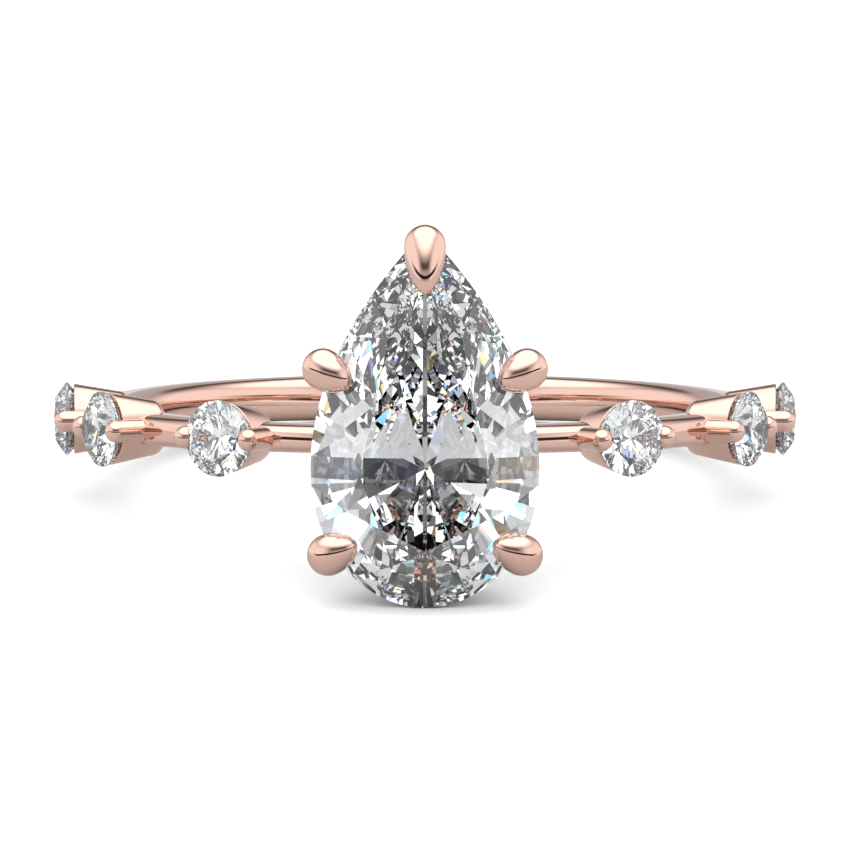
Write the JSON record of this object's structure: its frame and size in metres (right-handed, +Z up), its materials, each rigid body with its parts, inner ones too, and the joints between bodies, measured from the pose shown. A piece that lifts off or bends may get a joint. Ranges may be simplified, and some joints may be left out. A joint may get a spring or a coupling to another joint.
{
  "type": "engagement ring",
  "caption": "Slender rose gold ring with a claw-set pear brilliant and spaced round brilliants in collets down each shoulder.",
  "frame": {"origin": "centre of the finger hole, on the shank's axis and its middle plane", "axes": "+Z up, square to the surface that the ring lies on; the pear's table faces -Y and its tip points up; +X to the right as seen from the front. The finger hole's axis leans 9.44 degrees from +Z towards +Y."},
  "size_m": [0.0212, 0.0229, 0.0101],
  "materials": {
    "rose_gold": "high polish, 14 carat rose gold",
    "diamond": "polished facets, colourless, refractive index 2.42"
  },
  "bodies": {
    "root": {"shank": "rose_gold", "lower_rail": "rose_gold", "upper_rail": "rose_gold", "claw_tip": "rose_gold", "claw_left_shoulder": "rose_gold", "claw_left_heel": "rose_gold", "claw_right_shoulder": "rose_gold", "claw_right_heel": "rose_gold", "collet_left_first": "rose_gold", "collet_left_second": "rose_gold", "collet_left_third": "rose_gold", "collet_right_first": "rose_gold", "collet_right_second": "rose_gold", "collet_right_third": "rose_gold", "prong_left_first_front": "rose_gold", "prong_left_first_back": "rose_gold", "prong_left_second_front": "rose_gold", "prong_left_second_back": "rose_gold", "prong_left_third_front": "rose_gold", "prong_left_third_back": "rose_gold", "prong_right_first_front": "rose_gold", "prong_right_first_back": "rose_gold", "prong_right_second_front": "rose_gold", "prong_right_second_back": "rose_gold", "prong_right_third_front": "rose_gold", "prong_right_third_back": "rose_gold", "pear_diamond": "diamond", "diamond_left_first": "diamond", "diamond_left_second": "diamond", "diamond_left_third": "diamond", "diamond_right_first": "diamond", "diamond_right_second": "diamond", "diamond_right_third": "diamond"}
  },
  "joints": []
}
